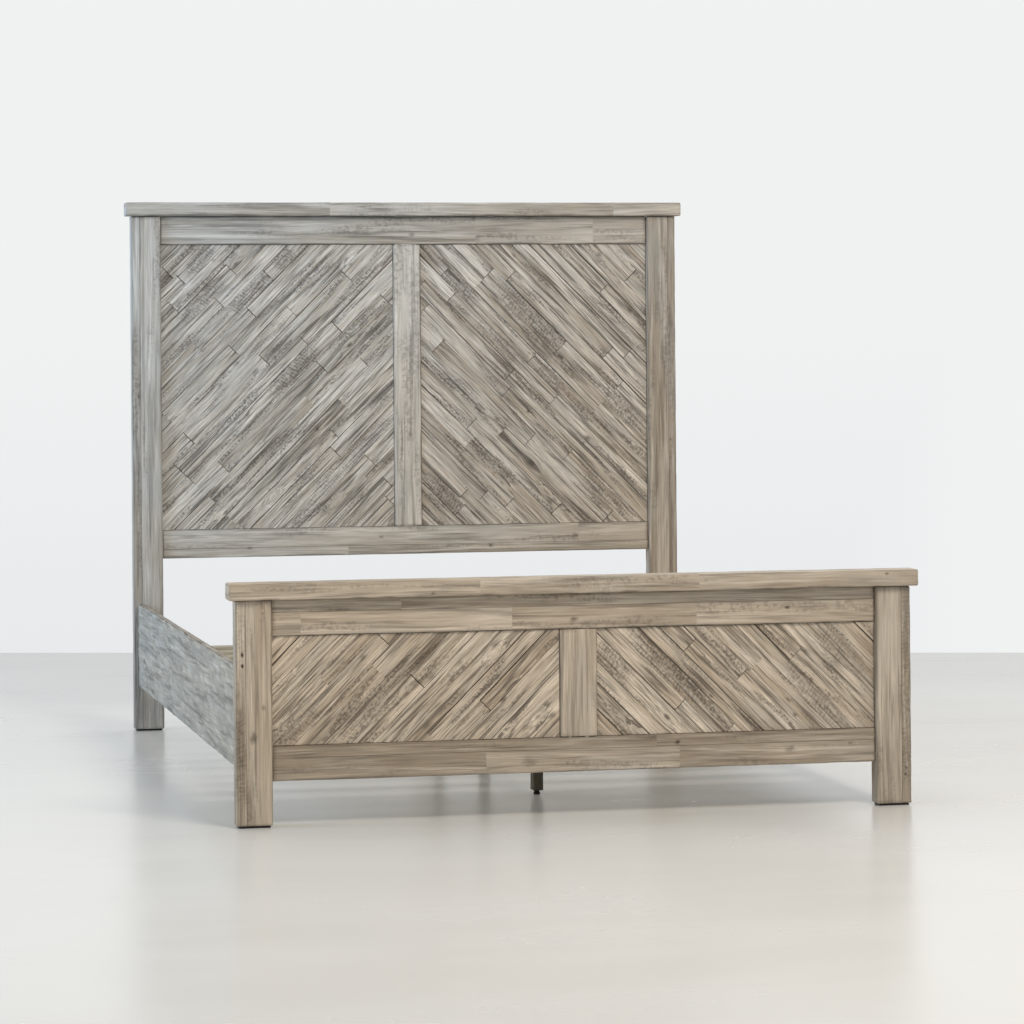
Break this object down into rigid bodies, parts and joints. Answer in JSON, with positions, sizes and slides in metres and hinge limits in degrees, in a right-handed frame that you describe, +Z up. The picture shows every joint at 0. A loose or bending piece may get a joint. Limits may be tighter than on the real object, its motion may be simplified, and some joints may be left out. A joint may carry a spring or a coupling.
{
  "type": "panel bed frame",
  "caption": "Wooden panel bed frame with a tall headboard, a low footboard, chevron plank panels, side rails, slats and adjustable centre support legs.",
  "frame": {"origin": "on the floor, under the centre of the overall box", "axes": "+X to the right seen from the foot, +Y from the footboard to the headboard, +Z up"},
  "size_m": [1.651, 2.252, 1.524],
  "materials": {
    "weathered_wood": "matt grey-brown wash over reclaimed-look hardwood, eased edges",
    "weathered_planks": "matt grey-brown wash, saw marks and dark checks",
    "hewn_rail_wood": "matt grey wash over a rough-hewn face",
    "plywood": "sanded, unfinished",
    "slat_pine": "planed, unfinished",
    "leg_wood": "dark stain, matt",
    "dowel_beech": "turned, unfinished",
    "black_steel": "black powder coat, satin",
    "zinc_steel": "zinc plated",
    "black_plastic": "moulded, matt"
  },
  "bodies": {
    "bed_frame": {"bracket_bolts": "zinc_steel", "bracket_screws": "zinc_steel", "cap_dowels": "dowel_beech", "centre_beam": "slat_pine", "centre_leg_front": "leg_wood", "centre_leg_middle": "leg_wood", "centre_leg_rear": "leg_wood", "corner_brackets": "black_steel", "footboard_backing_left": "plywood", "footboard_backing_right": "plywood", "footboard_bottom_rail": "weathered_wood", "footboard_centre_stile": "weathered_wood", "footboard_planks_left": "weathered_planks", "footboard_planks_right": "weathered_planks", "footboard_post_left": "weathered_wood", "footboard_post_right": "weathered_wood", "footboard_top_cap": "weathered_wood", "footboard_top_rail": "weathered_wood", "headboard_backing_left": "plywood", "headboard_backing_right": "plywood", "headboard_bottom_rail": "weathered_wood", "headboard_centre_stile": "weathered_wood", "headboard_planks_left": "weathered_planks", "headboard_planks_right": "weathered_planks", "headboard_post_left": "weathered_wood", "headboard_post_right": "weathered_wood", "headboard_top_cap": "weathered_wood", "headboard_top_rail": "weathered_wood", "ledger_screws": "zinc_steel", "leg_bolts": "zinc_steel", "leg_nuts": "zinc_steel", "post_glides": "black_plastic", "rail_dowels": "dowel_beech", "side_rail_face_left": "hewn_rail_wood", "side_rail_face_right": "hewn_rail_wood", "side_rail_left": "weathered_wood", "side_rail_right": "weathered_wood", "slat_01": "slat_pine", "slat_02": "slat_pine", "slat_03": "slat_pine", "slat_04": "slat_pine", "slat_05": "slat_pine", "slat_06": "slat_pine", "slat_07": "slat_pine", "slat_08": "slat_pine", "slat_09": "slat_pine", "slat_10": "slat_pine", "slat_11": "slat_pine", "slat_12": "slat_pine", "slat_13": "slat_pine", "slat_ledger_left": "slat_pine", "slat_ledger_right": "slat_pine", "slat_screws": "zinc_steel", "threaded_inserts": "zinc_steel"},
    "leveller_front": {"leveller_stud_front": "zinc_steel", "leveller_foot_front": "black_plastic"},
    "leveller_middle": {"leveller_stud_middle": "zinc_steel", "leveller_foot_middle": "black_plastic"},
    "leveller_rear": {"leveller_stud_rear": "zinc_steel", "leveller_foot_rear": "black_plastic"}
  },
  "joints": [
    {"name": "leveller_front_height", "type": "slide", "parent": "bed_frame", "child": "leveller_front", "axis": [0, 0, 1], "range_m": [-0.015, 0.001]},
    {"name": "leveller_middle_height", "type": "slide", "parent": "bed_frame", "child": "leveller_middle", "axis": [0, 0, 1], "range_m": [-0.015, 0.001]},
    {"name": "leveller_rear_height", "type": "slide", "parent": "bed_frame", "child": "leveller_rear", "axis": [0, 0, 1], "range_m": [-0.015, 0.001]}
  ]
}
